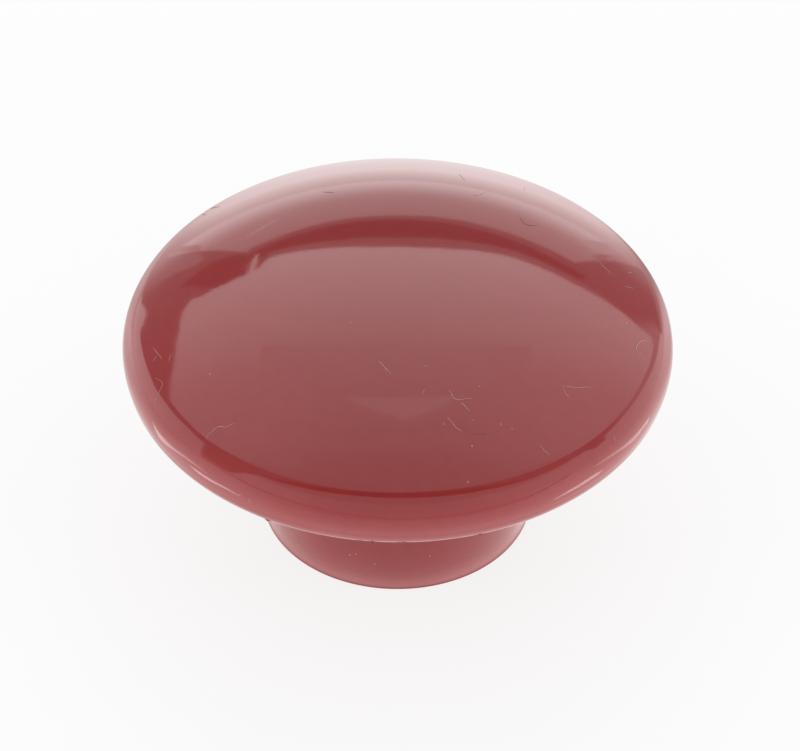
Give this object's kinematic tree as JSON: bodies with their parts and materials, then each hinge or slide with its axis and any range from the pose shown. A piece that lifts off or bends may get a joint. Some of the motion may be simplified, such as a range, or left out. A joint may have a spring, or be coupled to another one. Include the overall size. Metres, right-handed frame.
{
  "type": "pinball shooter knob",
  "caption": "Round moulded plastic pull knob with a domed head, rounded rim and short neck, with a blind bore for a rod's end.",
  "frame": {"origin": "centre of the neck's flat end face, which the knob stands on and the rod enters", "axes": "+Z along the knob's axis from the neck towards the crown; X and Y are any two directions across it"},
  "size_m": [0.035, 0.035, 0.0205],
  "materials": {
    "red_plastic": "glossy moulded red plastic, duller on the neck, with dust and lint"
  },
  "bodies": {
    "root": {"shooter_knob": "red_plastic"}
  },
  "joints": []
}
